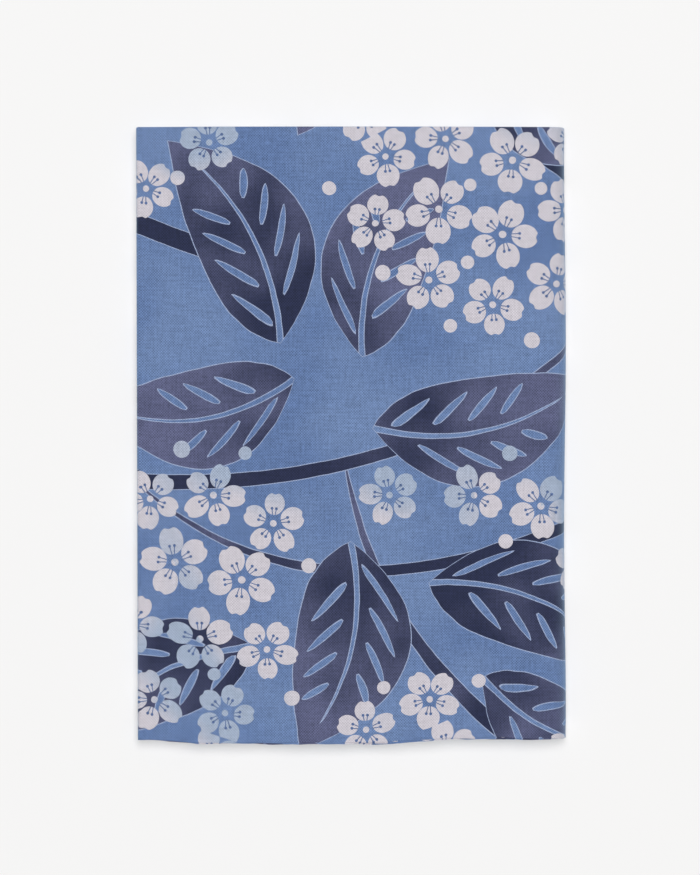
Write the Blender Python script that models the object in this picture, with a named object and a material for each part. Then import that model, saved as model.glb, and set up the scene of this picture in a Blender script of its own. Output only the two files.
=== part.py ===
"""Tenugui towel: one cotton cloth, folded into a flat packet.

The cloth is first folded in half across its width, which puts a soft fold along the packet's
far edge (+Y) and the two selvedges along its near edge (-Y). The doubled sheet is then folded in
half three times along its length. That leaves eight panels, one above the other, whose turns lie
inside one another along the spine (+X) and along the left edge (-X). Both cut ends are inside.

Frame: metres, +Z up, the origin in the middle of the underside, which lies flat on Z = 0.
"""

import math
from collections import namedtuple

import bmesh
import bpy

COLLECTION_NAME = "tenugui_towel"
CLOTH_NAME = "towel"

# Driving dimensions, in metres.
CLOTH_LENGTH = 0.900
CLOTH_WIDTH = 0.350
PACKET_WIDTH = 0.1216
# The doubled sheet as pressed, both of its leaves together, and the air to the next layer.
SHEET = 0.0010
LAYER_GAP = 0.0002
# The two leaves part along the selvedges, this far in and this far apart.
PARTED_DEPTH = 0.012
PARTED_GAP = 0.0002

# Unevenness of the folded packet, in metres.
LEFT_EDGE_LEAN = 0.0005
# The near edge is drawn in by this much, but for a stretch that bows out to the full depth.
NEAR_EDGE_DRAW = 0.0008
NEAR_EDGE_BOW_CENTRE = -0.022
NEAR_EDGE_BOW_REACH = 0.052
# How deep the near edge's slips and bow reach into the cloth before they fade out.
NEAR_EDGE_FADE = 0.060
# The top two layers sink where the cut ends stop short of the left edge.
MARGIN_SAG = 0.0018
MARGIN_SLOPE = 0.030
# The middle of the packet stands a little higher than its rim.
CROWN = 0.03

# Steps of the mesh along a panel, round a half turn, across the sheet and round its far fold.
PANEL_STEPS = 8
TURN_STEPS = 8
ACROSS_STEPS = 6
FAR_FOLD_STEPS = 6

CLOTH_COLOUR = (0.147, 0.223, 0.413, 1.0)
CLOTH_ROUGHNESS = 0.9

# One row for each panel, in the order of the cloth from its first cut end to its last.
# level: its place in the stack, 0 on the table.
# inset: how far its left turn, or the one it follows, stands in from the packet's left edge.
# slip: how far the whole panel has slipped towards +Y.
# front_reach, back_reach: how far the selvedge of each leaf stands out past the near edge.
Panel = namedtuple("Panel", "level inset slip front_reach back_reach")
PANELS = [
    Panel(level=5, inset=0.0000, slip=0.0001, front_reach=-0.0006, back_reach=-0.0002),
    Panel(level=2, inset=0.0019, slip=-0.0001, front_reach=-0.0001, back_reach=-0.0007),
    Panel(level=1, inset=0.0019, slip=-0.0002, front_reach=-0.0005, back_reach=0.0001),
    Panel(level=6, inset=0.0000, slip=0.0001, front_reach=0.0003, back_reach=-0.0002),
    Panel(level=7, inset=0.0000, slip=0.0002, front_reach=-0.0002, back_reach=0.0003),
    Panel(level=0, inset=0.0003, slip=-0.0001, front_reach=-0.0004, back_reach=-0.0001),
    Panel(level=3, inset=0.0003, slip=0.0000, front_reach=0.0001, back_reach=-0.0004),
    Panel(level=4, inset=0.0000, slip=-0.0001, front_reach=-0.0007, back_reach=-0.0003),
]

LAYER_PITCH = SHEET + LAYER_GAP
PACKET_DEPTH = CLOTH_WIDTH / 2
SPINE_RADIUS = (len(PANELS) - 1) * LAYER_PITCH / 2
# All turns of the spine begin on this line, since they lie round one centre.
SPINE_START = PACKET_WIDTH / 2 - SPINE_RADIUS - SHEET / 2

# A stretch of the sheet's route seen from the near edge: straight, or a half turn round a centre.
# heading is +1 towards the spine and -1 away from it, and rise is the half turn's way up or down.
Stretch = namedtuple("Stretch", "start length panel x z heading rise radius")


def smooth(share):
    """A soft step from 0 to 1."""
    share = min(max(share, 0.0), 1.0)
    return share * share * (3 - 2 * share)


def level_height(level):
    """Height of the sheet's middle on a level of the stack."""
    return SHEET / 2 + level * LAYER_PITCH


def left_turn_start(before, after):
    """Where the turn along the left edge between two panels begins, in X."""
    radius = abs(after.level - before.level) * LAYER_PITCH / 2
    return -PACKET_WIDTH / 2 + before.inset + radius + SHEET / 2


def panel_spans():
    """Each panel's two ends in X. The cloth that is left over makes the two end panels."""
    spans = []
    turned = 0.0
    for number, (before, after) in enumerate(zip(PANELS, PANELS[1:])):
        turned += math.pi * abs(after.level - before.level) * LAYER_PITCH / 2
        if number % 2:
            left = left_turn_start(before, after)
            spans += [(SPINE_START, left), (left, SPINE_START)]
    straight = sum(abs(end - start) for start, end in spans)
    end_length = (CLOTH_LENGTH - turned - straight) / 2
    cut_end = SPINE_START - end_length
    return [(cut_end, SPINE_START)] + spans + [(SPINE_START, cut_end)]


def sheet_route():
    """The whole route of the sheet's middle, from one cut end to the other."""
    stretches = []
    start = 0.0
    spans = panel_spans()
    for number, (panel, (begin, end)) in enumerate(zip(PANELS, spans)):
        heading = 1 if end > begin else -1
        length = abs(end - begin)
        height = level_height(panel.level)
        stretches.append(Stretch(start, length, number, begin, height, heading, 0, 0.0))
        start += length
        if panel is not PANELS[-1]:
            climb = PANELS[number + 1].level - panel.level
            radius = abs(climb) * LAYER_PITCH / 2
            rise = 1 if climb > 0 else -1
            stretches.append(
                Stretch(start, math.pi * radius, number, end, height, heading, rise, radius)
            )
            start += math.pi * radius
    return stretches


ROUTE = sheet_route()
CUT_END = panel_spans()[0][0]


def stretch_at(along):
    """The stretch that holds a length along the cloth."""
    return next((item for item in ROUTE if along < item.start + item.length), ROUTE[-1])


def on_route(along):
    """Middle point and leaf direction of the folded sheet at a length along the cloth."""
    item = stretch_at(along)
    run = along - item.start
    if not item.rise:
        return item.x + item.heading * run, item.z, 0.0, float(item.heading)
    angle = run / item.radius
    x = item.x + item.heading * item.radius * math.sin(angle)
    z = item.z + item.rise * item.radius * (1 - math.cos(angle))
    return x, z, -item.rise * math.sin(angle), item.heading * math.cos(angle)


def panel_value(along, column):
    """A column of the table of panels, blended from the middle of one panel to the next."""
    straights = [item for item in ROUTE if not item.rise]
    middles = [item.start + item.length / 2 for item in straights]
    for number in range(len(PANELS) - 1):
        if along < middles[number + 1]:
            share = smooth((along - middles[number]) / (middles[number + 1] - middles[number]))
            before = getattr(PANELS[number], column)
            after = getattr(PANELS[number + 1], column)
            return before + (after - before) * share
    return getattr(PANELS[-1], column)


def stations():
    """Lengths along the cloth at which the mesh has a row of points."""
    lengths = []
    for item in ROUTE:
        steps = TURN_STEPS if item.rise else PANEL_STEPS
        lengths += [item.start + item.length * step / steps for step in range(steps)]
    return lengths + [CLOTH_LENGTH]


def section_outline():
    """The doubled sheet seen from its cut end, as (across, off the middle) points.

    It runs up the front leaf to the far fold, round it, back down the back leaf, and into the
    slit between the two leaves along the selvedges.
    """
    half = SHEET / 2
    near = -PACKET_DEPTH / 2
    slit_end = near + PARTED_DEPTH
    fold_start = PACKET_DEPTH / 2 - half
    rows = [near] + [
        slit_end + (fold_start - slit_end) * step / ACROSS_STEPS
        for step in range(ACROSS_STEPS + 1)
    ]
    turn = [math.pi / 2 - math.pi * step / FAR_FOLD_STEPS for step in range(1, FAR_FOLD_STEPS)]
    front = [(row, half) for row in rows]
    fold = [(fold_start + half * math.cos(angle), half * math.sin(angle)) for angle in turn]
    back = [(row, -half) for row in reversed(rows)]
    slit_taper = slit_end - PARTED_GAP * 5
    slit = [
        (near, -PARTED_GAP / 2),
        (slit_taper, -PARTED_GAP / 2),
        (slit_end, 0.0),
        (slit_taper, PARTED_GAP / 2),
        (near, PARTED_GAP / 2),
    ]
    return front + fold + back + slit


def flat_sheet():
    """The doubled sheet laid out flat at full length: X along it, Y across, Z off its middle."""
    lengths = stations()
    sheet = bmesh.new()
    corners = [sheet.verts.new((lengths[0], across, off)) for across, off in section_outline()]
    first_cut_end = sheet.faces.new(corners)
    end_face = first_cut_end
    for before, after in zip(lengths, lengths[1:]):
        grown = bmesh.ops.extrude_face_region(sheet, geom=[end_face])["geom"]
        # The extrusion leaves the face that it started from inside the cloth.
        if end_face is not first_cut_end:
            sheet.faces.remove(end_face)
        end_face = next(item for item in grown if isinstance(item, bmesh.types.BMFace))
        moved = [item for item in grown if isinstance(item, bmesh.types.BMVert)]
        bmesh.ops.translate(sheet, verts=moved, vec=(after - before, 0.0, 0.0))
    return sheet


def near_edge_share(y):
    """How much of a shift of the near edge is felt at a depth: all at the edge, none far in."""
    return smooth((-PACKET_DEPTH / 2 + NEAR_EDGE_FADE - y) / NEAR_EDGE_FADE)


def slipped(along, across, off):
    """Where a point of the doubled sheet lies across the packet, with its panel's slips."""
    reach = panel_value(along, "front_reach" if off > 0 else "back_reach")
    return across + panel_value(along, "slip") - reach * near_edge_share(across)


def settled(x, y, z):
    """The packet's own unevenness, laid over the regular folds. The underside stays flat."""
    draw = NEAR_EDGE_DRAW * smooth(abs(x - NEAR_EDGE_BOW_CENTRE) / NEAR_EDGE_BOW_REACH)
    left_share = 0.5 - x / PACKET_WIDTH
    crown = 1 + CROWN * math.cos(math.pi * x / PACKET_WIDTH) * math.cos(math.pi * y / PACKET_DEPTH)
    sag = 0.0
    if z > level_height(5) + SHEET / 2:
        sag = MARGIN_SAG * smooth((CUT_END - x) / MARGIN_SLOPE)
    return (
        x - LEFT_EDGE_LEAN * left_share * y / PACKET_DEPTH,
        y + draw * near_edge_share(y),
        (z - sag) * crown,
    )


def fold_up(sheet):
    """Moves each point of the flat sheet to its place in the packet."""
    for point in sheet.verts:
        along, across, off = point.co
        x, z, leaf_x, leaf_z = on_route(along)
        y = slipped(along, across, off)
        point.co = settled(x + leaf_x * off, y, z + leaf_z * off)
    bmesh.ops.recalc_face_normals(sheet, faces=sheet.faces)


def cotton():
    """Dyed cotton: the ground colour of the cloth, quite dull."""
    material = bpy.data.materials.new("dyed_cotton")
    material.use_nodes = True
    shader = material.node_tree.nodes["Principled BSDF"]
    shader.inputs["Base Color"].default_value = CLOTH_COLOUR
    shader.inputs["Roughness"].default_value = CLOTH_ROUGHNESS
    shader.inputs["Metallic"].default_value = 0.0
    return material


def build_towel(collection):
    """The folded cloth as one object."""
    sheet = flat_sheet()
    fold_up(sheet)
    mesh = bpy.data.meshes.new(CLOTH_NAME)
    sheet.to_mesh(mesh)
    sheet.free()
    mesh.shade_smooth()
    mesh.set_sharp_from_angle(angle=math.radians(40))
    mesh.materials.append(cotton())
    towel = bpy.data.objects.new(CLOTH_NAME, mesh)
    collection.objects.link(towel)
    return towel


def clear_scene():
    for old in list(bpy.data.objects):
        bpy.data.objects.remove(old, do_unlink=True)


def main():
    clear_scene()
    collection = bpy.data.collections.new(COLLECTION_NAME)
    bpy.context.scene.collection.children.link(collection)
    build_towel(collection)


main()
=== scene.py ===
# %% [markdown]
# # A folded tenugui
# A tenugui is one length of thin, plain-woven cotton, about 35 by 90 cm, dyed right through and
# sold folded into a flat packet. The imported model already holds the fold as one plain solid. This
# lesson dresses it: a finer sheet laid on the same folds, a dyed pattern that follows the cloth
# and not the view, and the weave itself.

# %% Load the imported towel
import math
from collections import namedtuple

import bmesh
import bpy
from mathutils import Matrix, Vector


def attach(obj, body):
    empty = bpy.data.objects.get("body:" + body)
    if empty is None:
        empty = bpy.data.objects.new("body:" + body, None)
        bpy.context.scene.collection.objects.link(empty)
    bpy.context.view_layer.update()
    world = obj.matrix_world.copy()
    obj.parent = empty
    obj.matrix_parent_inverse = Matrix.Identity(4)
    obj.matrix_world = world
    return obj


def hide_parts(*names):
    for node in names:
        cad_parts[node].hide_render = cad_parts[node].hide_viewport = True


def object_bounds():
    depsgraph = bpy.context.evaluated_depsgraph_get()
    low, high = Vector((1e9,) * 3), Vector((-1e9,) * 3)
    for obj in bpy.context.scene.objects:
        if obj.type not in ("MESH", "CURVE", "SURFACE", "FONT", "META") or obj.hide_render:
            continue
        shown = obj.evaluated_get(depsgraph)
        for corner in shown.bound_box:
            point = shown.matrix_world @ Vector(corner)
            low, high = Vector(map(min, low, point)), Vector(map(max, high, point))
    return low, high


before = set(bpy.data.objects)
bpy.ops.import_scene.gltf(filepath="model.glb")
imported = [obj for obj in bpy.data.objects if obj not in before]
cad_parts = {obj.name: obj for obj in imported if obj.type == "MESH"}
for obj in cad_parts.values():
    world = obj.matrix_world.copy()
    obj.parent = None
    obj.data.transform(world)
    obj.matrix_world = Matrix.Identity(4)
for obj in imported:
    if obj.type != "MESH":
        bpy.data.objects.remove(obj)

cad_box = [list(corner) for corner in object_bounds()]
print("the packed towel spans", cad_box)

# %% [markdown]
# ## The cloth and its folds
# The cloth is folded in half across its width first. That puts a soft fold along the far edge
# and both selvedges along the near one. The doubled sheet is then folded in half three times
# along its length. At the spine, on the right, four half turns lie one inside the other. Three
# more close the left edge, and both cut ends end up inside the packet. The sizes are those of the
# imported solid, so the finer sheet lies where the solid lies. One row of the table stands for one
# panel, in the order in which the cloth runs through them.

# %% Sizes of the cloth and its packet
CLOTH_LENGTH = 0.900
CLOTH_WIDTH = 0.350
PACKET_WIDTH = 0.1216
PACKET_DEPTH = CLOTH_WIDTH / 2
# In metres: the doubled sheet, the step from level to level, one leaf, and how far a leaf's
# middle lies off the sheet's middle.
SHEET = 0.0010
LAYER_PITCH = 0.0012
LEAF_THICKNESS = 0.00036
LEAF_OFFSET = 0.0003

# Levels count up from the table. The inset moves a panel's left turn inwards, the slip moves the
# panel away from its near edge, and the reaches carry its front and back selvedges outwards.
Panel = namedtuple("Panel", "level inset slip front_reach back_reach")
PANELS = [
    Panel(level=5, inset=0.0000, slip=0.0001, front_reach=-0.0006, back_reach=-0.0002),
    Panel(level=2, inset=0.0019, slip=-0.0001, front_reach=-0.0001, back_reach=-0.0007),
    Panel(level=1, inset=0.0019, slip=-0.0002, front_reach=-0.0005, back_reach=0.0001),
    Panel(level=6, inset=0.0000, slip=0.0001, front_reach=0.0003, back_reach=-0.0002),
    Panel(level=7, inset=0.0000, slip=0.0002, front_reach=-0.0002, back_reach=0.0003),
    Panel(level=0, inset=0.0003, slip=-0.0001, front_reach=-0.0004, back_reach=-0.0001),
    Panel(level=3, inset=0.0003, slip=0.0000, front_reach=0.0001, back_reach=-0.0004),
    Panel(level=4, inset=0.0000, slip=-0.0001, front_reach=-0.0007, back_reach=-0.0003),
]
SPINE_START = PACKET_WIDTH / 2 - (len(PANELS) - 1) * LAYER_PITCH / 2 - SHEET / 2
print("the turns of the spine begin", round(SPINE_START * 1000, 1), "mm from the middle")

# %% [markdown]
# The route of the sheet is the packet seen from its near edge: straight runs joined by half
# turns. A curve object could be swept along it, but a plain function is easier to reuse, because
# it tells where any length along the cloth ends up and which way the leaf faces there.

# %% The route of the sheet through the packet
Stretch = namedtuple("Stretch", "start length x z heading rise radius")


def level_height(level):
    return SHEET / 2 + level * LAYER_PITCH


def turn_radius(before, after):
    return abs(after.level - before.level) * LAYER_PITCH / 2


def panel_spans():
    """Each panel's two ends in X. What is left of the length makes the two end panels."""
    spans = []
    turned = 0.0
    for number, (before, after) in enumerate(zip(PANELS, PANELS[1:])):
        turned += math.pi * turn_radius(before, after)
        if number % 2:
            left = -PACKET_WIDTH / 2 + before.inset + turn_radius(before, after) + SHEET / 2
            spans += [(SPINE_START, left), (left, SPINE_START)]
    straight = sum(abs(end - start) for start, end in spans)
    cut_end = SPINE_START - (CLOTH_LENGTH - turned - straight) / 2
    return [(cut_end, SPINE_START)] + spans + [(SPINE_START, cut_end)]


def sheet_route():
    """The stretches of the sheet's middle, from one cut end to the other."""
    stretches = []
    start = 0.0
    for number, (panel, (begin, end)) in enumerate(zip(PANELS, panel_spans())):
        heading = 1 if end > begin else -1
        height = level_height(panel.level)
        stretches.append(Stretch(start, abs(end - begin), begin, height, heading, 0, 0.0))
        start += abs(end - begin)
        if panel is not PANELS[-1]:
            radius = turn_radius(panel, PANELS[number + 1])
            rise = 1 if PANELS[number + 1].level > panel.level else -1
            stretches.append(
                Stretch(start, math.pi * radius, end, height, heading, rise, radius)
            )
            start += math.pi * radius
    return stretches


ROUTE = sheet_route()
CUT_END = panel_spans()[0][0]
# The fifth panel lies on top and the sixth underneath. Runs and turns alternate in the route.
TOP_PANEL = 4
UNDER_PANEL = 5
TOP_RUN = ROUTE[2 * TOP_PANEL]
UNDER_RUN = ROUTE[2 * UNDER_PANEL]
print("the route has", len(ROUTE), "stretches; the cut ends stop at x =", round(CUT_END, 4))

# %% Where a length along the cloth lies
def on_route(along):
    """Middle point of the sheet, and the way its front leaf faces, at a length along it."""
    item = next((item for item in ROUTE if along < item.start + item.length), ROUTE[-1])
    run = along - item.start
    if not item.rise:
        return item.x + item.heading * run, item.z, 0.0, float(item.heading)
    angle = run / item.radius
    x = item.x + item.heading * item.radius * math.sin(angle)
    z = item.z + item.rise * item.radius * (1 - math.cos(angle))
    return x, z, -item.rise * math.sin(angle), item.heading * math.cos(angle)


def smooth(share):
    share = min(max(share, 0.0), 1.0)
    return share * share * (3 - 2 * share)


MIDDLES = [item.start + item.length / 2 for item in ROUTE if not item.rise]


def panel_value(along, column):
    """A column of the panels' table, blended from the middle of one panel to the next."""
    values = [getattr(panel, column) for panel in PANELS]
    for number in range(len(PANELS) - 1):
        if along < MIDDLES[number + 1]:
            share = smooth((along - MIDDLES[number]) / (MIDDLES[number + 1] - MIDDLES[number]))
            return values[number] + (values[number + 1] - values[number]) * share
    return values[-1]


print("the top panel's middle is", [round(part, 4) for part in on_route(MIDDLES[TOP_PANEL])])

# %% [markdown]
# Across its width the cloth is a hairpin: up the front leaf, round the far fold, and back down
# the back leaf. Nobody folds cloth dead straight, so the selvedges wander a few tenths of a
# millimetre, the near edge bows, the left edge leans, and the top layers sink a little where the
# cut ends stop short of the left edge. The underside stays flat, because it lies on a table.

# %% Across the two leaves
FOLD_LENGTH = math.pi * LEAF_OFFSET
LEAF_WIDTH = (CLOTH_WIDTH - FOLD_LENGTH) / 2
FAR_TURN = PACKET_DEPTH / 2 - LEAF_OFFSET - LEAF_THICKNESS / 2


def across_leaf(across):
    """Depth in the packet, and distance off the sheet's middle, at a width across the cloth."""
    if across < LEAF_WIDTH:
        return FAR_TURN - LEAF_WIDTH + across, LEAF_OFFSET
    if across > CLOTH_WIDTH - LEAF_WIDTH:
        return FAR_TURN - (across - CLOTH_WIDTH + LEAF_WIDTH), -LEAF_OFFSET
    angle = (across - LEAF_WIDTH) / LEAF_OFFSET
    return FAR_TURN + LEAF_OFFSET * math.sin(angle), LEAF_OFFSET * math.cos(angle)


print("one leaf is", round(LEAF_WIDTH * 1000, 1), "mm wide up to the far fold")

# %% Selvedges that wander
# What moves the near edge fades out over this depth of the packet.
NEAR_EDGE_FADE = 0.060
SELVEDGE_WANDER = 0.00022
# Each wave of the selvedge: its length along the cloth in metres, and its share of the wander.
SELVEDGE_WAVES = ((0.0071, 0.30), (0.0134, 0.45), (0.0312, 0.70))
# Each wave starts this many radians further on than the one before, and twice that on the back.
WAVE_SHIFT = 2.4


def near_edge_share(y):
    return smooth((-PACKET_DEPTH / 2 + NEAR_EDGE_FADE - y) / NEAR_EDGE_FADE)


def wander(along, side):
    """The selvedge's own small waves, different on the two sides of the cloth."""
    waves = [
        share * math.sin(2 * math.pi * along / length + WAVE_SHIFT * side * number)
        for number, (length, share) in enumerate(SELVEDGE_WAVES, start=1)
    ]
    return SELVEDGE_WANDER * sum(waves)


def slipped(along, y, off):
    """The depth of a place once its panel and its leaf have slipped."""
    side = 1 if off > 0 else 2
    reach = panel_value(along, "front_reach" if off > 0 else "back_reach")
    edge = reach + wander(along, side)
    return y + panel_value(along, "slip") - edge * near_edge_share(y)


top_wander = wander(MIDDLES[TOP_PANEL], 1)
print("the selvedge wanders by", round(top_wander * 1000, 2), "mm in the middle of the top panel")

# %% The packet's own unevenness
# The near edge is drawn in towards both ends: by how much, and between which places in X.
DRAWN_ALL = 0.0003
DRAWN_LEFT = 0.0009
DRAWN_LEFT_FROM = -0.040
DRAWN_RIGHT = 0.0013
DRAWN_RIGHT_FROM = 0.008
DRAWN_SLOPE = 0.020
# The spine swells and draws in by this much, in this many half waves along its length.
SPINE_SWELL = 0.00025
SPINE_WAVES = 3.3
# The left edge leans by this much from its near end to its far one.
LEFT_EDGE_LEAN = 0.0005
# The layers above this level sink at the left margin, by this much and over this run.
HIGHEST_FIRM_LEVEL = 5
MARGIN_SAG = 0.0018
MARGIN_SLOPE = 0.030
# The packet's middle stands higher than its edges by this share.
CROWN = 0.03


def settled(x, y, z):
    """Where a place of the dead straight packet ends up once the cloth has settled."""
    draw = DRAWN_ALL + DRAWN_LEFT * smooth((DRAWN_LEFT_FROM - x) / DRAWN_SLOPE)
    draw += DRAWN_RIGHT * smooth((x - DRAWN_RIGHT_FROM) / DRAWN_SLOPE)
    left_share = 0.5 - x / PACKET_WIDTH
    swell = SPINE_SWELL * (1 - left_share) * math.sin(SPINE_WAVES * math.pi * y / PACKET_DEPTH)
    crown = 1 + CROWN * math.cos(math.pi * x / PACKET_WIDTH) * math.cos(math.pi * y / PACKET_DEPTH)
    sag = 0.0
    if z > level_height(HIGHEST_FIRM_LEVEL) + SHEET / 2:
        sag = MARGIN_SAG * smooth((CUT_END - x) / MARGIN_SLOPE)
    return (
        x - LEFT_EDGE_LEAN * left_share * y / PACKET_DEPTH + swell,
        y + draw * near_edge_share(y),
        (z - sag) * crown,
    )


flat_top = level_height(PANELS[TOP_PANEL].level) + SHEET / 2
print("the top face rises to", round(settled(0.0, 0.0, flat_top)[2] * 1000, 2), "mm in the middle")

# %% [markdown]
# ## The sheet
# A grid from the add menu is the flat cloth. Its columns stand close together in the turns and
# wide apart on the flats. Each point keeps its flat place as a UV coordinate in metres, so that
# dye and weave follow the threads round every fold, and is then carried to its folded place. A
# Solidify modifier gives the leaf its thickness.

# %% Columns and rows of the grid
PANEL_STEPS = 44
TURN_STEPS = 10
LEAF_STEPS = 26
FOLD_STEPS = 8
# Above 1, this crowds the rows towards the selvedges, where the cloth is least even.
ROW_CROWDING = 1.3

columns = []
for item in ROUTE:
    steps = TURN_STEPS if item.rise else PANEL_STEPS
    columns += [item.start + item.length * step / steps for step in range(steps)]
columns.append(CLOTH_LENGTH)

leaf_rows = [LEAF_WIDTH * (step / LEAF_STEPS) ** ROW_CROWDING for step in range(LEAF_STEPS)]
fold_rows = [LEAF_WIDTH + FOLD_LENGTH * step / FOLD_STEPS for step in range(FOLD_STEPS + 1)]
rows = leaf_rows + fold_rows + [CLOTH_WIDTH - row for row in reversed(leaf_rows)]
print(len(columns), "columns by", len(rows), "rows")

# %% Lay the grid out flat, mark its threads and fold it up
bpy.ops.object.select_all(action="DESELECT")
bpy.ops.mesh.primitive_grid_add(
    x_subdivisions=len(columns) - 1, y_subdivisions=len(rows) - 1, size=1, calc_uvs=False
)
cloth = bpy.context.object
cloth.name = "printed_cloth"
cloth.data.name = "printed_cloth"

flat_places = []
for point in cloth.data.vertices:
    column = round((point.co.x + 0.5) * (len(columns) - 1))
    row = round((point.co.y + 0.5) * (len(rows) - 1))
    flat_places.append((columns[column], rows[row]))

flat_map = cloth.data.uv_layers.new(name="FlatCloth")
for loop in cloth.data.loops:
    flat_map.data[loop.index].uv = flat_places[loop.vertex_index]

for point, (along, across) in zip(cloth.data.vertices, flat_places):
    x, z, leaf_x, leaf_z = on_route(along)
    depth, off = across_leaf(across)
    y = slipped(along, depth, off)
    point.co = settled(x + leaf_x * off, y, z + leaf_z * off)

print("the folded sheet has", len(cloth.data.polygons), "faces")

# %% [markdown]
# The leaf is only a third of a millimetre thick. Solidify lays a second skin beside the first and
# closes the two with a rim, which is the woven selvedge along the sides and the raw cut at the
# ends.

# %% Give the leaf its thickness
# Faces that meet at less than this many degrees are shaded as one smooth surface.
SMOOTH_UP_TO = 50
skin_faces = len(cloth.data.polygons)
skin_points = len(cloth.data.vertices)
thickness = cloth.modifiers.new("leaf", "SOLIDIFY")
thickness.thickness = LEAF_THICKNESS
thickness.offset = 0.0
bpy.ops.object.modifier_apply(modifier=thickness.name)
bpy.ops.object.shade_smooth_by_angle(angle=math.radians(SMOOTH_UP_TO))
cloth_mesh = bmesh.new()
cloth_mesh.from_mesh(cloth.data)
if cloth_mesh.calc_volume(signed=True) < 0:
    bmesh.ops.reverse_faces(cloth_mesh, faces=cloth_mesh.faces)
    cloth_mesh.to_mesh(cloth.data)
print("volume of cotton:", round(cloth_mesh.calc_volume() * 1e6, 1), "cubic cm")
cloth_mesh.free()

# %% [markdown]
# A second UV map is for baking the dye to a picture. Most of the picture goes to the stretch of
# the front leaf that wraps the packet: the top face, the spine and the underside. The rest of
# both skins shares two narrow bands above it, and the rim lies in thin strips in between.

# %% Which part of the picture each stretch of cloth gets
PICTURE_SIDE = 1024
# The wrap takes in this much cloth beyond the two panels, in metres.
WRAP_REACH = 0.004
WRAP_START = TOP_RUN.start - WRAP_REACH
WRAP_END = UNDER_RUN.start + UNDER_RUN.length + WRAP_REACH
# From here on, everything is a share of the picture.
WRAP_HEIGHT = 0.70
WRAP_MARGIN = 0.003
RIM_STRIPS = (0.712, 0.722, 0.732, 0.742)
STRIP_HEIGHT = 0.004
OUTER_BAND = 0.755
INNER_BAND = 0.880
BAND_HEIGHT = 0.115
print("the bake map gives the packet's outside", round(PICTURE_SIDE * WRAP_HEIGHT), "rows of",
      PICTURE_SIDE)

# %% Lay out the map for baking
# The face nearest to a point high above shows which of the two skins is outside.
FACES_UP = 0.9
SAME_PLACE = 1e-6
high_above = Vector((0.0, 0.0, 1.0))
flat_map = cloth.data.uv_layers["FlatCloth"]
bake_map = cloth.data.uv_layers.new(name="OFBake")
top_face = min(
    (face for face in cloth.data.polygons if face.normal.z > FACES_UP),
    key=lambda face: (face.center - high_above).length,
)
outer_is_first = top_face.index < skin_faces


def rim_place(face, loop):
    """Where one corner of a rim face lies: one strip for each selvedge and each cut end."""
    along, across = flat_map.data[loop].uv
    runs = [flat_map.data[corner].uv[0] for corner in face.loop_indices]
    at_end = max(runs) - min(runs) < SAME_PLACE
    side = 2 * at_end + (along > CLOTH_LENGTH / 2 if at_end else across > CLOTH_WIDTH / 2)
    share = across / CLOTH_WIDTH if at_end else along / CLOTH_LENGTH
    second = cloth.data.loops[loop].vertex_index >= skin_points
    return share, RIM_STRIPS[side] + STRIP_HEIGHT * second


def inside_margin(share):
    return WRAP_MARGIN + (1 - 2 * WRAP_MARGIN) * share


def bake_place(face, loop):
    """Where one corner of a face lies in the picture of the dye."""
    if face.index >= 2 * skin_faces:
        return rim_place(face, loop)
    along, across = flat_map.data[loop].uv
    middle = sum((flat_map.data[corner].uv for corner in face.loop_indices), Vector((0.0, 0.0))) / 4
    is_outer = (face.index < skin_faces) == outer_is_first
    if is_outer and middle[1] < CLOTH_WIDTH / 2 and WRAP_START < middle[0] < WRAP_END:
        wrap_share = (along - WRAP_START) / (WRAP_END - WRAP_START)
        return inside_margin(wrap_share), WRAP_HEIGHT * inside_margin(across / (CLOTH_WIDTH / 2))
    band = OUTER_BAND if is_outer else INNER_BAND
    return along / CLOTH_LENGTH, band + BAND_HEIGHT * across / CLOTH_WIDTH


for face in cloth.data.polygons:
    for loop in face.loop_indices:
        bake_map.data[loop].uv = bake_place(face, loop)
flat_map.active = True
flat_map.active_render = True
print("the bake map holds", len(bake_map.data), "corners")

# %% [markdown]
# ## The dye
# The pattern is dyed right through the cloth, so one drawing serves both faces. It is drawn with
# shader nodes in millimetres on the flat cloth, with its middle on the middle of the top face,
# and it repeats along and across the cloth. A few small helpers keep the node work readable.

# %% The material, and how numbers are worked out in it
cotton = bpy.data.materials.new("dyed_cotton")
cotton.use_nodes = True
dye = cotton.node_tree
shader = dye.nodes["Principled BSDF"]


def feed(socket, value):
    """Links a socket to another node's output, or sets it to a plain value."""
    if isinstance(value, bpy.types.NodeSocket):
        dye.links.new(value, socket)
    else:
        socket.default_value = value


def number(operation, *values):
    """One step of arithmetic."""
    step = dye.nodes.new("ShaderNodeMath")
    step.operation = operation
    for socket, value in zip(step.inputs, values):
        feed(socket, value)
    return step.outputs[0]


print("the material starts with", len(dye.nodes), "nodes")

# %% Helpers for places
def vector(operation, *values):
    """One step of arithmetic with places, each of them three numbers."""
    step = dye.nodes.new("ShaderNodeVectorMath")
    step.operation = operation
    for socket, value in zip(step.inputs, values):
        feed(socket, value)
    return step.outputs["Value" if operation == "LENGTH" else "Vector"]


def scaled(value, factor):
    """A place or a colour times one number."""
    step = dye.nodes.new("ShaderNodeVectorMath")
    step.operation = "SCALE"
    feed(step.inputs[0], value)
    feed(step.inputs["Scale"], factor)
    return step.outputs[0]


def parts(value):
    """The three numbers of a place or a colour."""
    step = dye.nodes.new("ShaderNodeSeparateXYZ")
    feed(step.inputs[0], value)
    return step.outputs[0], step.outputs[1], step.outputs[2]


def joined(x, y, z=0.0):
    """A place from its numbers."""
    step = dye.nodes.new("ShaderNodeCombineXYZ")
    for socket, value in zip(step.inputs, (x, y, z)):
        feed(socket, value)
    return step.outputs[0]


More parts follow.
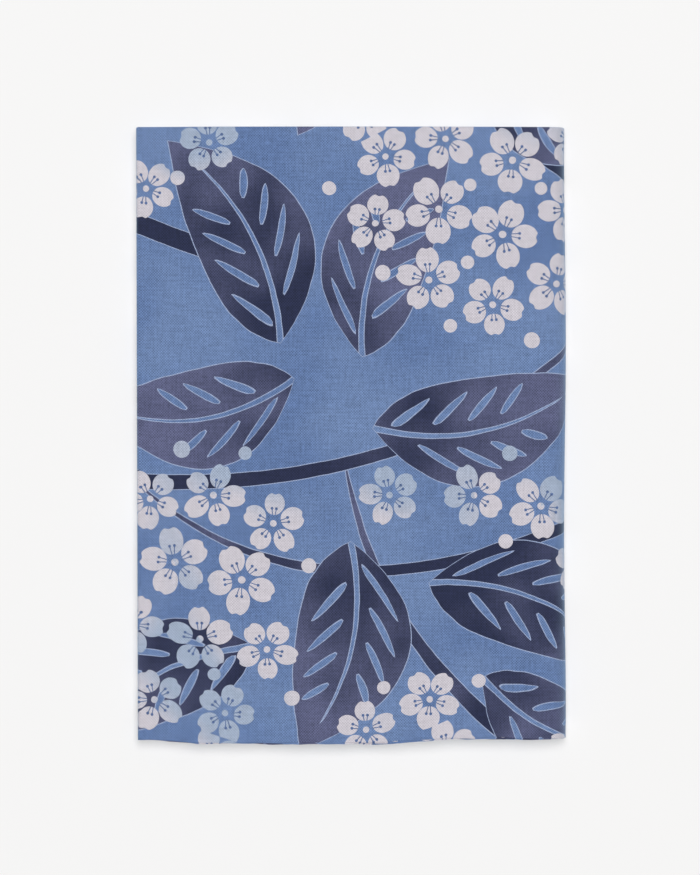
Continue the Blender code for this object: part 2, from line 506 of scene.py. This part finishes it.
def mixed_vector(share, before, after):
    """Mixes two places. The Mix node has its own pair of sockets for each kind of data."""
    step = dye.nodes.new("ShaderNodeMix")
    step.data_type = "VECTOR"
    feed(step.inputs[0], share)
    feed(step.inputs[4], before)
    feed(step.inputs[5], after)
    return step.outputs[1]


print("five helpers work out places")

# %% Helpers for colours, curves and clouds
def mixed_colour(share, before, after):
    """Mixes two colours with the same kind of node."""
    step = dye.nodes.new("ShaderNodeMix")
    step.data_type = "RGBA"
    feed(step.inputs[0], share)
    feed(step.inputs[6], before)
    feed(step.inputs[7], after)
    return step.outputs[2]


def soft_step(value, low, high):
    """Runs smoothly from 0 at the low value to 1 at the high one."""
    step = dye.nodes.new("ShaderNodeMapRange")
    step.interpolation_type = "SMOOTHSTEP"
    feed(step.inputs["Value"], value)
    feed(step.inputs["From Min"], low)
    feed(step.inputs["From Max"], high)
    return step.outputs["Result"]


def shaped(value, points):
    """Reads a value through a curve drawn by a few points."""
    step = dye.nodes.new("ShaderNodeFloatCurve")
    curve = step.mapping.curves[0]
    curve.points[0].location = points[0]
    curve.points[1].location = points[-1]
    for point in points[1:-1]:
        curve.points.new(*point)
    step.mapping.update()
    feed(step.inputs["Value"], value)
    return step.outputs[0]


def clouds(place, scale, detail=2.0):
    """Soft noise from 0 to 1, and the same as a colour."""
    step = dye.nodes.new("ShaderNodeTexNoise")
    feed(step.inputs["Vector"], place)
    step.inputs["Scale"].default_value = scale
    step.inputs["Detail"].default_value = detail
    return step.outputs[0], step.outputs[1]


print("four more work out colours, curves and clouds")

# %% [markdown]
# Dye creeps a little along the threads, so no edge is ruler-sharp. A weak noise pushes the
# drawing's coordinates about by up to a fifth of a millimetre before anything is drawn.

# %% Places on the cloth in millimetres
MILLIMETRES = 1000.0
# Twice as far as the dye may creep, and how many clouds of creep there are to a millimetre.
CREEP = 0.45
CREEP_CLOUDS = 0.16
# The pattern repeats after this far along the cloth and across it.
TILE = (150.0, 175.0)
HALF_TILE = (TILE[0] / 2, TILE[1] / 2, 1.0)
FACE_MIDDLE = (
    (TOP_RUN.start - TOP_RUN.x) * MILLIMETRES,
    (LEAF_WIDTH - FAR_TURN) * MILLIMETRES,
    0.0,
)

flat_place = dye.nodes.new("ShaderNodeUVMap")
flat_place.uv_map = "FlatCloth"
threads = scaled(flat_place.outputs[0], MILLIMETRES)
centred = vector("SUBTRACT", threads, FACE_MIDDLE)
creep = vector("SUBTRACT", clouds(threads, CREEP_CLOUDS)[1], (0.5, 0.5, 0.5))
creep_step = vector("MULTIPLY_ADD", creep, (CREEP, CREEP, 0.0), centred)
page = vector("MULTIPLY", creep_step, (1.0, 1.0, 0.0))
print("the drawing's middle is at", [round(part, 2) for part in FACE_MIDDLE], "mm on the cloth")

# %% [markdown]
# ## Leaves and branches
# Large smooth-edged leaves hang from slim branches. Both are one shape: a blade with a base, a
# direction, a length, a width and a bend, and only its outline curve differs. For every blade the
# nodes keep the place inside it, so that veins and shading are drawn once, for the blade that
# lies on top, however many there are.

# %% Rows of branches and leaves, in millimetres and degrees
# A bend is a share of the blade's length. A tone runs from 0, the deepest, to 1, the palest.
Blade = namedtuple("Blade", "x y angle length width bend tone")
BRANCHES = [
    Blade(x=50, y=-92, angle=121, length=101, width=5.6, bend=0.10, tone=0.1),
    Blade(x=6, y=-6, angle=36, length=96, width=4.2, bend=-0.09, tone=0.3),
    Blade(x=15, y=-38, angle=160, length=86, width=3.8, bend=0.12, tone=0.2),
]
LEAVES = [
    Blade(x=-28, y=-60, angle=211, length=54, width=28, bend=-0.12, tone=0.15),
    Blade(x=3, y=22, angle=66, length=62, width=30, bend=0.13, tone=0.75),
    Blade(x=37, y=-70, angle=-22, length=50, width=26, bend=-0.14, tone=0.60),
    Blade(x=-16, y=16, angle=187, length=58, width=29, bend=0.14, tone=0.70),
    Blade(x=-20, y=26, angle=119, length=66, width=33, bend=-0.12, tone=0.20),
    Blade(x=6, y=2, angle=14, length=64, width=31, bend=-0.13, tone=0.55),
    Blade(x=22, y=-42, angle=-24, length=62, width=32, bend=0.13, tone=0.10),
    Blade(x=0, y=-30, angle=-104, length=62, width=33, bend=0.12, tone=0.35),
]
LEAF_OUTLINE = (
    (0.0, 0.0), (0.06, 0.34), (0.16, 0.70), (0.30, 0.95), (0.44, 1.0),
    (0.60, 0.91), (0.76, 0.66), (0.90, 0.30), (1.0, 0.0),
)
# Before its base a branch keeps its full width, and so runs on to where the pattern repeats.
BRANCH_OUTLINE = ((0.0, 1.0), (0.3, 0.8), (0.62, 0.55), (0.9, 0.3), (1.0, 0.0))
print(len(BRANCHES), "branches and", len(LEAVES), "leaves on a tile of", TILE, "mm")

# %% Branches first
def place_blade(blade, outline, below):
    """Lays one blade over what is drawn so far: its inner place, then its sizes."""
    inner_below, sizes_below = below
    local = vector("WRAP", vector("SUBTRACT", page, (blade.x, blade.y, 0.0)),
                   HALF_TILE, tuple(-half for half in HALF_TILE))
    turned = dye.nodes.new("ShaderNodeMapping")
    turned.vector_type = "TEXTURE"
    turned.inputs["Rotation"].default_value = (0.0, 0.0, math.radians(blade.angle))
    turned.inputs["Scale"].default_value = (blade.length, blade.width / 2, 1.0)
    feed(turned.inputs["Vector"], local)
    along, across, _ = parts(turned.outputs[0])
    arch = number("MULTIPLY", along, number("SUBTRACT", 1.0, along))
    lift = 4 * blade.bend * blade.length / (blade.width / 2)
    across = number("MULTIPLY_ADD", arch, -lift, across)
    inside = number("SUBTRACT", shaped(along, outline), number("ABSOLUTE", across))
    covers = number("GREATER_THAN", inside, 0.0)
    inner = mixed_vector(covers, inner_below, joined(along, across, inside))
    sizes = mixed_vector(covers, sizes_below, (blade.length, blade.width / 2, blade.tone))
    return inner, sizes


drawn = ((0.0, 0.0, 0.0), (1.0, 1.0, 0.0))
for branch in BRANCHES:
    drawn = place_blade(branch, BRANCH_OUTLINE, drawn)
print("branches use", len(dye.nodes), "nodes so far")

# %% Leaves over the branches
# A blade whose half width in millimetres is above this is a leaf.
LEAF_LIMIT = 6.0
for leaf in LEAVES:
    drawn = place_blade(leaf, LEAF_OUTLINE, drawn)
blade_along, blade_across, blade_inside = parts(drawn[0])
blade_length, blade_half_width, blade_tone = parts(drawn[1])
edge_distance = number("MULTIPLY", blade_inside, blade_half_width)
is_blade = number("GREATER_THAN", blade_inside, 0.0)
is_leaf = number("GREATER_THAN", blade_half_width, LEAF_LIMIT)
print("leaves use", len(dye.nodes), "nodes so far")

# %% [markdown]
# The veins are left in the colour of the ground, each with its own fine pale line, as where a
# stencil's paste kept the dark dye out. The side veins are separate strokes that start clear of
# the midrib, lean towards the tip and end before the edge.

# %% How far each place is from the nearest side vein
VEIN_SPACING = 9.6
# A side vein leans forward by this slope, and by twice this curl more for each millimetre out.
VEIN_LEAN = 0.85
VEIN_CURL = 0.028
# The slope is taken this many millimetres from the midrib when a width is measured squarely.
TYPICAL_REACH = 5
# Keeps the division from failing at the leaf's tip, where the leaf has no width.
LEAST_WIDTH = 0.02

off_midrib = number("ABSOLUTE", blade_across)
leaf_edge = number("MAXIMUM", number("ADD", blade_inside, off_midrib), LEAST_WIDTH)
outward = number("DIVIDE", off_midrib, leaf_edge)
across_mm = number("MULTIPLY", off_midrib, blade_half_width)
along_mm = number("MULTIPLY", blade_along, blade_length)
curl = number("MULTIPLY", number("MULTIPLY", across_mm, across_mm), VEIN_CURL)
lean = number("MULTIPLY_ADD", across_mm, VEIN_LEAN, curl)
side_step = number("MULTIPLY", number("GREATER_THAN", blade_across, 0.0), VEIN_SPACING / 2)
vein_place = number("ADD", number("SUBTRACT", along_mm, lean), side_step)
past_vein = number("WRAP", vein_place, VEIN_SPACING / 2, -VEIN_SPACING / 2)
squarely = math.cos(math.atan(VEIN_LEAN + 2 * VEIN_CURL * TYPICAL_REACH))
to_vein = number("MULTIPLY", number("ABSOLUTE", past_vein), squarely)
print("places between the veins bring it to", len(dye.nodes), "nodes")

# %% Side veins and midrib
VEIN_WIDTH = 1.15
MIDRIB_WIDTH = 1.1
# A side vein's width from the midrib, at 0, to the leaf's edge, at 1.
VEIN_OUTLINE = (
    (0.0, 0.0), (0.17, 0.0), (0.27, 0.75), (0.5, 1.0), (0.72, 0.6), (0.84, 0.0), (1.0, 0.0),
)
# The midrib's width from the leaf's base to its tip.
MIDRIB_OUTLINE = ((0.0, 1.0), (0.1, 0.9), (0.6, 0.6), (0.82, 0.42), (0.9, 0.0), (1.0, 0.0))
# Side veins spring from the midrib between these shares of the leaf's length.
FIRST_VEIN = 0.01
LAST_VEIN = 0.66
# A vein vanishes where it would be narrower than this, rather than end in a hair.
VEIN_CUT = 0.30

vein_foot = number("DIVIDE", number("SUBTRACT", vein_place, past_vein), blade_length)
has_vein = number("GREATER_THAN", vein_foot, FIRST_VEIN)
has_vein = number("MULTIPLY", has_vein, number("LESS_THAN", vein_foot, LAST_VEIN))
vein_swell = number("MULTIPLY", shaped(outward, VEIN_OUTLINE), has_vein)
vein_half = number("MULTIPLY_ADD", vein_swell, VEIN_WIDTH + VEIN_CUT, -VEIN_CUT)
side_vein = number("SUBTRACT", vein_half, to_vein)
midrib_swell = shaped(blade_along, MIDRIB_OUTLINE)
midrib_half = number("MULTIPLY_ADD", midrib_swell, MIDRIB_WIDTH + VEIN_CUT, -VEIN_CUT)
midrib = number("SUBTRACT", midrib_half, across_mm)
vein = number("MAXIMUM", side_vein, midrib)
print("veins bring it to", len(dye.nodes), "nodes")

# %% Pale outlines
OUTLINE_WIDTH = 0.28

is_vein = number("MULTIPLY", number("GREATER_THAN", vein, 0.0), is_leaf)
vein_line = number("MULTIPLY", number("LESS_THAN", vein, OUTLINE_WIDTH), is_vein)
edge_line = number("LESS_THAN", edge_distance, OUTLINE_WIDTH)
pale_line = number("MULTIPLY", number("MAXIMUM", vein_line, edge_line), is_blade)
dark_leaf = number("MULTIPLY", is_blade, number("SUBTRACT", 1.0, is_vein))
print("outlines bring it to", len(dye.nodes), "nodes")

# %% [markdown]
# ## Blossoms
# Five-petalled blossoms crowd along the branches, white in some clusters and pale sky blue in
# others. A blossom is a disc with a place, a reach and a turn, and where two discs meet, each
# point goes to the nearer one, so that neighbours share a clean border. Buds are small discs on
# top, left whole. The nodes keep only the place inside the disc, and draw the petals once.

# %% Rows of blossoms and buds, in millimetres and degrees
Blossom = namedtuple("Blossom", "x y reach turn")
BLOSSOMS = [
    Blossom(x=10, y=79, reach=9.2, turn=10),
    Blossom(x=27, y=84, reach=9.4, turn=40),
    Blossom(x=46, y=78, reach=10.2, turn=25),
    Blossom(x=64, y=84, reach=9.0, turn=58),
    Blossom(x=7, y=60, reach=9.0, turn=62),
    Blossom(x=25, y=64, reach=10.4, turn=20),
    Blossom(x=43, y=57, reach=10.6, turn=5),
    Blossom(x=62, y=64, reach=9.6, turn=33),
    Blossom(x=22, y=44, reach=9.8, turn=50),
    Blossom(x=40, y=37, reach=9.4, turn=14),
    Blossom(x=58, y=43, reach=9.6, turn=66),
    Blossom(x=70, y=25, reach=8.8, turn=18),
    Blossom(x=-57, y=-18, reach=9.2, turn=24),
    Blossom(x=-39, y=-17, reach=9.6, turn=2),
    Blossom(x=-22, y=-25, reach=9.4, turn=58),
    Blossom(x=-50, y=-36, reach=10.4, turn=44),
    Blossom(x=-31, y=-41, reach=10.6, turn=28),
    Blossom(x=-62, y=-54, reach=9.2, turn=8),
    Blossom(x=-43, y=-58, reach=10.0, turn=52),
    Blossom(x=-24, y=-61, reach=9.4, turn=16),
    Blossom(x=-56, y=-76, reach=9.4, turn=36),
    Blossom(x=-36, y=-79, reach=9.2, turn=5),
    Blossom(x=35, y=-17, reach=9.4, turn=33),
    Blossom(x=54, y=-20, reach=9.8, turn=14),
    Blossom(x=66, y=-37, reach=8.8, turn=60),
    Blossom(x=-58, y=70, reach=9.0, turn=26),
    Blossom(x=-40, y=83, reach=9.2, turn=48),
    Blossom(x=22, y=-76, reach=9.2, turn=22),
    Blossom(x=4, y=-84, reach=9.0, turn=51),
    Blossom(x=11, y=-17, reach=9.2, turn=39),
]
BUDS = [
    Blossom(x=-6, y=70, reach=2.0, turn=0),
    Blossom(x=9, y=46, reach=2.2, turn=0),
    Blossom(x=34, y=71, reach=1.8, turn=0),
    Blossom(x=33, y=49, reach=1.9, turn=0),
    Blossom(x=54, y=70, reach=1.8, turn=0),
    Blossom(x=51, y=27, reach=2.3, turn=0),
    Blossom(x=28, y=31, reach=1.9, turn=0),
    Blossom(x=-48, y=-4, reach=2.4, turn=0),
    Blossom(x=-30, y=-5, reach=1.9, turn=0),
    Blossom(x=-12, y=-37, reach=2.1, turn=0),
    Blossom(x=-64, y=-40, reach=2.0, turn=0),
    Blossom(x=-39, y=-68, reach=1.8, turn=0),
    Blossom(x=-17, y=-75, reach=2.2, turn=0),
    Blossom(x=44, y=-30, reach=2.1, turn=0),
    Blossom(x=45, y=-5, reach=2.2, turn=0),
    Blossom(x=-49, y=73, reach=2.1, turn=0),
    Blossom(x=36, y=-71, reach=2.0, turn=0),
    Blossom(x=9, y=-72, reach=1.9, turn=0),
]
print(len(BLOSSOMS), "blossoms and", len(BUDS), "buds")

# %% Lay the blossoms down, then the buds on top
def from_middle(blossom):
    """Place measured from a blossom's middle, on the tile that repeats."""
    local = vector("SUBTRACT", page, (blossom.x, blossom.y, 0.0))
    return vector("WRAP", local, HALF_TILE, tuple(-half for half in HALF_TILE))


def lay_down(blossom, local, covers, below):
    """Where the blossom covers, keeps its inner place and its facts."""
    inner_below, facts_below = below
    inner = mixed_vector(covers, inner_below, local)
    facts = mixed_vector(covers, facts_below, (blossom.reach, math.radians(blossom.turn), 0.0))
    return inner, facts


# Where no blossom covers the cloth, the place is this far from any middle.
FAR_OFF = 1000.0
placed = ((FAR_OFF, 0.0, 0.0), (1.0, 0.0, 0.0))
nearest = 1.0
for blossom in BLOSSOMS:
    local = from_middle(blossom)
    share = number("DIVIDE", vector("LENGTH", local), blossom.reach)
    placed = lay_down(blossom, local, number("LESS_THAN", share, nearest), placed)
    nearest = number("MINIMUM", share, nearest)
for bud in BUDS:
    local = from_middle(bud)
    placed = lay_down(bud, local, number("LESS_THAN", vector("LENGTH", local), bud.reach), placed)
print("blossoms use", len(dye.nodes), "nodes so far")

# %% [markdown]
# One petal is an ellipse whose end is notched, and the place round the blossom is wrapped so that
# it is drawn five times. Hand-cut stencils vary, so a random number for each petal changes its
# length and width a little. Thin stamens in a blue deeper than the ground's run out from the
# heart, two on each petal.

# %% Which petal a place belongs to
PETALS = 5
SECTOR = 2 * math.pi / PETALS
# A disc whose reach is below this is a bud.
BUD_LIMIT = 4.0

bloom_x, bloom_y, _ = parts(placed[0])
reach, turn, _ = parts(placed[1])
radius = number("DIVIDE", vector("LENGTH", placed[0]), reach)
bearing = number("ADD", number("ARCTAN2", bloom_y, bloom_x), turn)
bearing = number("WRAP", bearing, 2 * math.pi, 0.0)
petal_angle = number("WRAP", bearing, SECTOR / 2, -SECTOR / 2)
petal_number = number("ROUND", number("DIVIDE", number("SUBTRACT", bearing, petal_angle), SECTOR))
petal_number = number("MODULO", petal_number, PETALS)
is_small = number("LESS_THAN", reach, BUD_LIMIT)
petal_number = number("MULTIPLY", petal_number, number("SUBTRACT", 1.0, is_small))
chance = dye.nodes.new("ShaderNodeTexWhiteNoise")
chance.noise_dimensions = "3D"
feed(chance.inputs["Vector"], joined(petal_number, reach, turn))
chance_length, chance_width, chance_shade = parts(chance.outputs["Color"])
print("places on the petals bring it to", len(dye.nodes), "nodes")

# %% Notched petals
# A petal's middle, half length and half width are shares of the blossom's reach.
PETAL_MIDDLE = 0.60
PETAL_LENGTH = 0.385
PETAL_WIDTH = 0.350
# A petal may be smaller than that by up to this share.
PETAL_VARIATION = 0.16
# The notch's depth and half width are shares of the petal's half length and half width.
NOTCH_DEPTH = 0.20
NOTCH_WIDTH = 0.42
# The notch deepens between these shares of the way from the petal's middle to its end.
NOTCH_RUN = (0.3, 1.0)

petal_x = number("MULTIPLY", radius, number("COSINE", petal_angle))
petal_y = number("MULTIPLY", radius, number("SINE", petal_angle))
long_half = number("MULTIPLY_ADD", chance_length, -PETAL_VARIATION * PETAL_LENGTH, PETAL_LENGTH)
wide_half = number("MULTIPLY_ADD", chance_width, -PETAL_VARIATION * PETAL_WIDTH, PETAL_WIDTH)
stretch_x = number("DIVIDE", number("SUBTRACT", petal_x, PETAL_MIDDLE), long_half)
stretch_y = number("DIVIDE", petal_y, wide_half)
petal_reach = vector("LENGTH", joined(stretch_x, stretch_y))
near_middle = soft_step(number("ABSOLUTE", stretch_y), NOTCH_WIDTH, 0.0)
notch = number("MULTIPLY", near_middle, soft_step(stretch_x, *NOTCH_RUN))
petal_reach = number("MULTIPLY_ADD", notch, NOTCH_DEPTH, petal_reach)
is_petal = number("LESS_THAN", petal_reach, 1.0)
print("petals bring it to", len(dye.nodes), "nodes")

# %% Hearts and stamens
HEART = 0.10
# Two stamens this many radians apart, between these shares of the blossom's reach.
STAMEN_ANGLE = 0.30
STAMEN_START = 0.17
STAMEN_END = 0.46
# Half a stamen's width and the anther's radius, in millimetres.
STAMEN_WIDTH = 0.13
ANTHER = 0.42

to_stamen = number("SUBTRACT", number("ABSOLUTE", petal_angle), STAMEN_ANGLE / 2)
radius_mm = number("MULTIPLY", radius, reach)
off_stamen = number("MULTIPLY", number("SINE", number("ABSOLUTE", to_stamen)), radius_mm)
thin_line = number("LESS_THAN", off_stamen, STAMEN_WIDTH)
thin_line = number("MULTIPLY", thin_line, number("GREATER_THAN", radius, STAMEN_START))
thin_line = number("MULTIPLY", thin_line, number("LESS_THAN", radius, STAMEN_END))
to_end = number("SUBTRACT", radius_mm, number("MULTIPLY", reach, STAMEN_END))
anther = number("LESS_THAN", vector("LENGTH", joined(off_stamen, to_end)), ANTHER)
is_heart = number("LESS_THAN", radius, HEART)
is_bud = number("MULTIPLY", is_small, number("LESS_THAN", radius, 1.0))
is_bloom = number("MAXIMUM", number("MAXIMUM", is_petal, is_heart), is_bud)
is_stamen = number("MULTIPLY", number("MAXIMUM", thin_line, anther), is_petal)
is_stamen = number("MULTIPLY", is_stamen, number("SUBTRACT", 1.0, is_small))
print("stamens bring it to", len(dye.nodes), "nodes")

# %% [markdown]
# ## Colours
# Three families of colour: a mid blue ground, leaves that run from indigo to a greyer violet, and
# petals that run from a soft white to pale sky blue. Dye is poured by hand, so slow noise moves
# each family a little, and whole clusters of blossoms lean to blue.

# %% The dyes
GROUND_BLUE = (0.146, 0.223, 0.411, 1.0)
GROUND_DEEP = (0.110, 0.178, 0.359, 1.0)
INDIGO = (0.0165, 0.0195, 0.0565, 1.0)
GREY_VIOLET = (0.110, 0.117, 0.219, 1.0)
PALE_LINE = (0.311, 0.377, 0.554, 1.0)
PETAL_WHITE = (0.592, 0.557, 0.606, 1.0)
PETAL_SKY = (0.348, 0.415, 0.538, 1.0)
STAMEN_BLUE = (0.090, 0.140, 0.290, 1.0)
pale_to_deep = GREY_VIOLET[0] / INDIGO[0]
print("the palest leaf dye throws back", round(pale_to_deep, 1), "times as much red as the deepest")

# %% How the dyes run into each other
# How many clouds of each dye there are to a millimetre.
GROUND_CLOUDS = 0.03
LEAF_CLOUDS = 0.05
SKY_CLOUDS = 0.018
# A leaf pales by its own tone and towards its tip.
TONE_SHARE = 0.5
TIP_SHARE = 0.45
# A petal's own chance moves it up to this far from the blue of its cluster.
PETAL_CHANCE = 0.10
# Between these values each family runs from its first dye to its second.
GROUND_RUN = (0.35, 0.65)
LEAF_RUN = (0.58, 1.29)
PETAL_RUN = (0.58, 0.72)

ground_run = clouds(threads, GROUND_CLOUDS)[0]
ground = mixed_colour(soft_step(ground_run, *GROUND_RUN), GROUND_BLUE, GROUND_DEEP)
tip_run = number("MULTIPLY_ADD", blade_along, TIP_SHARE, clouds(threads, LEAF_CLOUDS, 1.0)[0])
shade_run = number("MULTIPLY_ADD", blade_tone, TONE_SHARE, tip_run)
leaf_colour = mixed_colour(soft_step(shade_run, *LEAF_RUN), INDIGO, GREY_VIOLET)
sky_run = number("MULTIPLY_ADD", chance_shade, PETAL_CHANCE, clouds(threads, SKY_CLOUDS, 1.0)[0])
petal_colour = mixed_colour(soft_step(sky_run, *PETAL_RUN), PETAL_WHITE, PETAL_SKY)
print("the dyes bring it to", len(dye.nodes), "nodes")

# %% Lay the dyes over each other
colour = mixed_colour(dark_leaf, ground, leaf_colour)
colour = mixed_colour(pale_line, colour, PALE_LINE)
colour = mixed_colour(is_bloom, colour, petal_colour)
colour = mixed_colour(is_stamen, colour, STAMEN_BLUE)
print("the drawing has", len(dye.nodes), "nodes")

# %% [markdown]
# ## Weave
# Plain weave is a chequer of crossings: each thread goes over one and under the next, and there
# are about 26 threads to the centimetre one way and 25 the other. Here it is one sine wave along
# the cloth times one across it. No two threads are spun alike, so a stretched noise gives each its
# own tone, a finer one makes them lumpy, and a slow one lets the chequer stand out more in some
# places. The hollows between the threads are darkened: partly painted shade, partly deeper dye.
# The darkening is strongest where the dye is deep and weakest on the undyed petals, so it
# depends on how pale the colour is.

# %% Threads
# Two neighbouring threads take up this many millimetres.
WARP_PERIOD = 0.758
WEFT_PERIOD = 0.788
# The threads wander sideways within this many millimetres, over stretches of about 9 mm.
THREAD_WANDER = 0.16
WANDER_CLOUDS = 0.11
# How strongly the crossings show, from the faintest patches to the clearest.
FAINT_PATCH = 0.55
CLEAR_PATCH = 1.00
PATCH_CLOUDS = 0.25
PATCH_RUN = (0.3, 0.7)

wander_cloud = vector("SUBTRACT", clouds(threads, WANDER_CLOUDS, 1.0)[1], (0.5, 0.5, 0.5))
thread_place = vector("MULTIPLY_ADD", wander_cloud, (THREAD_WANDER, THREAD_WANDER, 0.0), threads)
thread_x, thread_y, _ = parts(thread_place)
warp_wave = number("SINE", number("MULTIPLY", thread_x, 2 * math.pi / WARP_PERIOD))
weft_wave = number("SINE", number("MULTIPLY", thread_y, 2 * math.pi / WEFT_PERIOD))
crossing = number("MULTIPLY", warp_wave, weft_wave)
patch = soft_step(clouds(threads, PATCH_CLOUDS, 1.0)[0], *PATCH_RUN)
crossing_share = number("MULTIPLY_ADD", patch, CLEAR_PATCH - FAINT_PATCH, FAINT_PATCH)
print("the crossings bring it to", len(dye.nodes), "nodes")

# %% Uneven threads
# Streaks to a millimetre across the thread and along it, and lumps to a millimetre.
STREAKS_ACROSS = 1.9
STREAKS_ALONG = 0.16
STREAK_SHARE = 0.95
LUMPS = 1.1
LUMP_SHARE = 0.64

weft_streak = clouds(vector("MULTIPLY", threads, (STREAKS_ACROSS, STREAKS_ALONG, 0.0)), 1.0, 1.0)[0]
warp_streak = clouds(vector("MULTIPLY", threads, (STREAKS_ALONG, STREAKS_ACROSS, 0.0)), 1.0, 1.0)[0]
streak = number("SUBTRACT", number("ADD", warp_streak, weft_streak), 1.0)
lump = number("SUBTRACT", clouds(threads, LUMPS, 0.0)[0], 0.5)
spun = number("MULTIPLY_ADD", lump, LUMP_SHARE, number("MULTIPLY", streak, STREAK_SHARE))
# Painted shade of the crossings, with each thread's own tone from its streaks and lumps added.
weave_shade_and_tone = number("MULTIPLY_ADD", crossing, crossing_share, spun)
print("uneven threads bring it to", len(dye.nodes), "nodes")

# %% Painted shade and deeper dye in the hollows between the threads
# How dark the hollows get on a black dye, painted shade and deeper dye together, and how much of it
# a white one takes away.
DEEPEST_HOLLOW_SHADE = 0.60
PALE_LOSS = 0.63

paleness = dye.nodes.new("ShaderNodeRGBToBW")
feed(paleness.inputs["Color"], colour)
hollow_shade_depth = number("MULTIPLY_ADD", paleness.outputs[0], -PALE_LOSS, DEEPEST_HOLLOW_SHADE)
# Darkens the colour by the hollows' painted shade and deeper dye.
shaded = scaled(colour, number("SUBTRACT", 1.0, number("MULTIPLY", weave_shade_and_tone, hollow_shade_depth)))
print("the hollows bring it to", len(dye.nodes), "nodes")

# %% [markdown]
# Cotton has no gloss, but the fine hairs on its threads catch light from the side. A rough
# surface with a weak highlight and a soft, bluish sheen gives that. The threads themselves are
# too small to model, and a bump of less than a tenth of a millimetre stands in for them.

# %% Cotton's dull surface
BUMP_DISTANCE = 0.00006
BUMP_STRENGTH = 0.5
COTTON_ROUGHNESS = 0.92
HIGHLIGHT = 0.25
SHEEN = 0.46
SHEEN_TINT = (0.50, 0.74, 1.0, 1.0)
SHEEN_ROUGHNESS = 0.6

bump = dye.nodes.new("ShaderNodeBump")
bump.inputs["Strength"].default_value = BUMP_STRENGTH
bump.inputs["Distance"].default_value = BUMP_DISTANCE
feed(bump.inputs["Height"], number("ADD", crossing, streak))
feed(shader.inputs["Base Color"], shaded)
feed(shader.inputs["Normal"], bump.outputs[0])
shader.inputs["Roughness"].default_value = COTTON_ROUGHNESS
shader.inputs["Specular IOR Level"].default_value = HIGHLIGHT
shader.inputs["Sheen Weight"].default_value = SHEEN
shader.inputs["Sheen Tint"].default_value = SHEEN_TINT
shader.inputs["Sheen Roughness"].default_value = SHEEN_ROUGHNESS
cloth.data.materials.clear()
cloth.data.materials.append(cotton)
print("the cotton is finished with", len(dye.nodes), "nodes")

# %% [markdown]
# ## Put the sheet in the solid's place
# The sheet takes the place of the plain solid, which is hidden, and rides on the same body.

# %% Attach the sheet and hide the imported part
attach(cloth, "root")
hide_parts("towel")
print("the sheet takes the place of the hidden towel")

# %% [markdown]
# ## Floor, light and camera
# The packet lies on a plain, nearly white table. A plane is enough for it, and it reaches well
# past the picture. Its white is a trace warm, because the packet's sides throw a little blue
# light on it.

# %% Table
TABLE_SIZE = 12.0
TABLE_WHITE = (0.893, 0.889, 0.885, 1.0)
bpy.ops.object.select_all(action="DESELECT")
bpy.ops.mesh.primitive_plane_add(size=TABLE_SIZE, location=(0, 0, 0))
table = bpy.context.object
table.name = "table_top"
paper = bpy.data.materials.new("plain_white")
paper.use_nodes = True
paper_shader = paper.node_tree.nodes["Principled BSDF"]
paper_shader.inputs["Base Color"].default_value = TABLE_WHITE
paper_shader.inputs["Roughness"].default_value = 1.0
paper_shader.inputs["Specular IOR Level"].default_value = 0.0
table.data.materials.append(paper)
print("the table is", TABLE_SIZE, "m wide")

# %% [markdown]
# A small lamp straight above the packet lights it head-on and leaves no shadow that a camera up
# there can see. A broad lamp, set beyond the far edge and a little to the right, adds the short
# soft shadow along the near and left edges. It is deeper than it is wide, so the shadow along the
# near edge is the softer of the two. A faint even sky fills what the lamps leave dark.

# %% Lamps and sky
# In metres, and the power in watts.
LAMP_HEIGHT = 4.0
Lamp = namedtuple("Lamp", "name right beyond width depth power")
LAMPS = [
    Lamp(name="head_on_lamp", right=0.0, beyond=0.0, width=0.30, depth=0.30, power=68.5),
    Lamp(name="broad_lamp", right=0.14, beyond=0.68, width=1.90, depth=2.45, power=89.8),
]
SKY_STRENGTH = 0.10
for row in LAMPS:
    bpy.ops.object.light_add(type="AREA", location=(row.right, row.beyond, LAMP_HEIGHT))
    lamp = bpy.context.object
    lamp.name = row.name
    lamp.data.shape = "ELLIPSE"
    lamp.data.size = row.width
    lamp.data.size_y = row.depth
    lamp.data.energy = row.power
    lamp.rotation_euler.x = -math.atan2(row.beyond, LAMP_HEIGHT)
    lamp.rotation_euler.y = math.atan2(row.right, LAMP_HEIGHT)

sky = bpy.data.worlds.new("soft_sky")
sky.use_nodes = True
sky_light = sky.node_tree.nodes["Background"]
sky_light.inputs["Color"].default_value = (1.0, 1.0, 1.0, 1.0)
sky_light.inputs["Strength"].default_value = SKY_STRENGTH
bpy.context.scene.world = sky
bpy.context.scene.view_settings.view_transform = "Standard"
print(len(LAMPS), "lamps", LAMP_HEIGHT, "m above the table")

# %% [markdown]
# The packet is seen from straight above. A long lens from well back keeps its sides out of sight,
# as they would be in a catalogue picture. The lens follows from the height of the view, which is
# the picture's height at the scale of the packet's top face.

# %% Camera
PICTURE = (700, 875)
PIXELS_PER_METRE = 3530
PACKET_MIDDLE_PIXEL = (351.1, 435.9)
CAMERA_DISTANCE = 1.6
SENSOR = 24.0
FARTHEST_SEEN = 20.0
top_of_packet = cad_box[1][2]
view_height = PICTURE[1] / PIXELS_PER_METRE
camera_x = (PICTURE[0] / 2 - PACKET_MIDDLE_PIXEL[0]) / PIXELS_PER_METRE
camera_y = (PACKET_MIDDLE_PIXEL[1] - PICTURE[1] / 2) / PIXELS_PER_METRE
bpy.ops.object.camera_add(location=(camera_x, camera_y, top_of_packet + CAMERA_DISTANCE))
camera = bpy.context.object
camera.name = "camera_above"
camera.rotation_euler = (0.0, 0.0, 0.0)
camera.data.sensor_fit = "VERTICAL"
camera.data.sensor_height = SENSOR
camera.data.lens = SENSOR * CAMERA_DISTANCE / view_height
camera.data.clip_end = FARTHEST_SEEN
bpy.context.scene.camera = camera
print("lens", round(camera.data.lens, 1), "mm")
